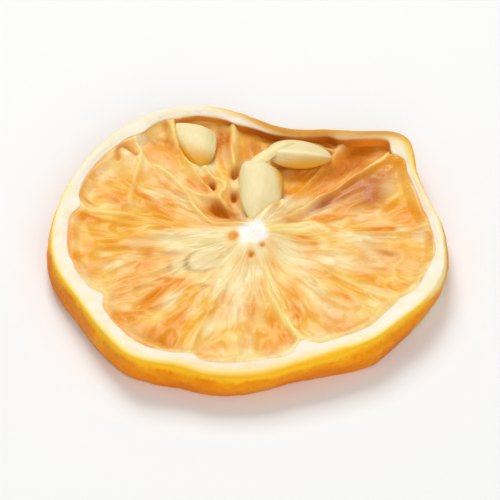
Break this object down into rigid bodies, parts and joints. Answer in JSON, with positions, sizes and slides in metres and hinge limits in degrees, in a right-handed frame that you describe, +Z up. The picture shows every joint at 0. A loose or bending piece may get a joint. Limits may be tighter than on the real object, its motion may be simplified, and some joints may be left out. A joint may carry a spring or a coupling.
{
  "type": "dried lemon slice",
  "caption": "Dried lemon slice, cut across the fruit, with an orange peel edge, a pale ring of pith and pips in the sunken flesh.",
  "frame": {"origin": "on the surface that the slice lies on, under the middle of its outline", "axes": "+Z up through the slice's upper cut face; +X to the right and +Y to the back as the slice is shown, with the flattened side of the rim and its sharp corner at the back right"},
  "size_m": [0.0484, 0.0477, 0.005],
  "materials": {
    "flesh": "satin",
    "peel": "satin",
    "pith": "matte",
    "pip": "satin"
  },
  "bodies": {
    "root": {"slice": "flesh", "pip_beside_core": "pip", "pip_back_right": "pip", "pip_back_left": "pip"}
  },
  "joints": []
}
